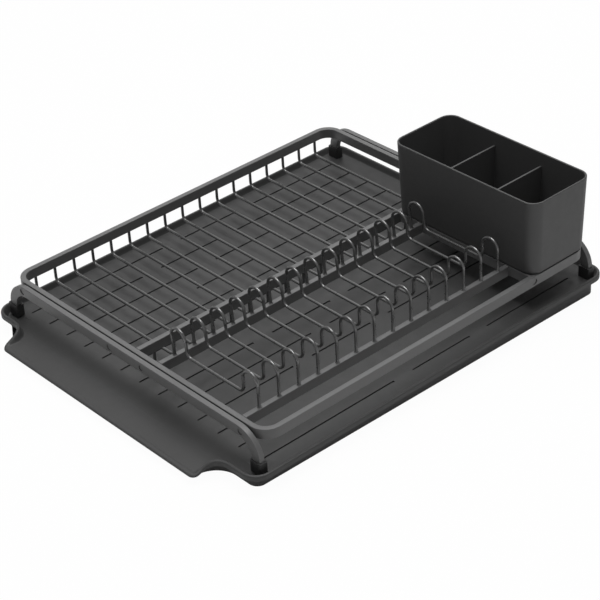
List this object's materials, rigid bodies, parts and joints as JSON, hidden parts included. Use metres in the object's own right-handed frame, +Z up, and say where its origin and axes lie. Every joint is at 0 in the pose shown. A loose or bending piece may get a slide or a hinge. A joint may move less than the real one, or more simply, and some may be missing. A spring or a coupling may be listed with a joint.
{
  "type": "dish drying rack",
  "caption": "Dark flat-bar and wire dish drying rack with plate hoops and a glass bay, standing in a sloping drip tray with a spout, with a lift-out divided cutlery holder.",
  "frame": {"origin": "middle of the object's box on the counter, z = 0 at the counter", "axes": "+X from the spout to the cutlery holder, +Y from the front to the back, +Z up"},
  "size_m": [0.5219, 0.417, 0.1498],
  "materials": {
    "bar_coat": "fine satin powder coat",
    "wire_coat": "satin powder coat",
    "cap_plastic": "soft black plastic",
    "holder_plastic": "fine matte moulded plastic",
    "tray_plastic": "fine matte moulded plastic",
    "pad_rubber": "soft dark rubber"
  },
  "bodies": {
    "tray": {"drip_tray": "tray_plastic", "tray_pads": "pad_rubber"},
    "holder": {"cutlery_holder": "holder_plastic"},
    "rack": {"cross_bar": "bar_coat", "cross_bar_rivet": "bar_coat", "foot_cap_back_left": "cap_plastic", "foot_cap_back_right": "cap_plastic", "foot_cap_front_left": "cap_plastic", "foot_cap_front_right": "cap_plastic", "front_bar": "bar_coat", "left_leg_bar": "bar_coat", "leg_rivets": "bar_coat", "middle_bar": "bar_coat", "plate_wire_01": "wire_coat", "plate_wire_02": "wire_coat", "plate_wire_03": "wire_coat", "plate_wire_04": "wire_coat", "plate_wire_05": "wire_coat", "plate_wire_06": "wire_coat", "plate_wire_07": "wire_coat", "plate_wire_08": "wire_coat", "plate_wire_09": "wire_coat", "plate_wire_10": "wire_coat", "plate_wire_11": "wire_coat", "plate_wire_12": "wire_coat", "plate_wire_13": "wire_coat", "plate_wire_14": "wire_coat", "rear_bar": "bar_coat", "rear_wire_01": "wire_coat", "rear_wire_02": "wire_coat", "rear_wire_03": "wire_coat", "rear_wire_04": "wire_coat", "rear_wire_05": "wire_coat", "rear_wire_06": "wire_coat", "rear_wire_07": "wire_coat", "rear_wire_08": "wire_coat", "rear_wire_09": "wire_coat", "rear_wire_10": "wire_coat", "rear_wire_11": "wire_coat", "rear_wire_12": "wire_coat", "rear_wire_13": "wire_coat", "rear_wire_14": "wire_coat", "rear_wire_15": "wire_coat", "rear_wire_16": "wire_coat", "rear_wire_17": "wire_coat", "right_leg_bar": "bar_coat", "rim_rail": "bar_coat"}
  },
  "joints": [
    {"name": "rack_lift", "type": "slide", "parent": "tray", "child": "rack", "axis": [-0.0157, 0, 0.9999], "range_m": [0, 0.08]},
    {"name": "holder_lift", "type": "slide", "parent": "rack", "child": "holder", "axis": [-0.0157, 0, 0.9999], "range_m": [0, 0.11]}
  ]
}
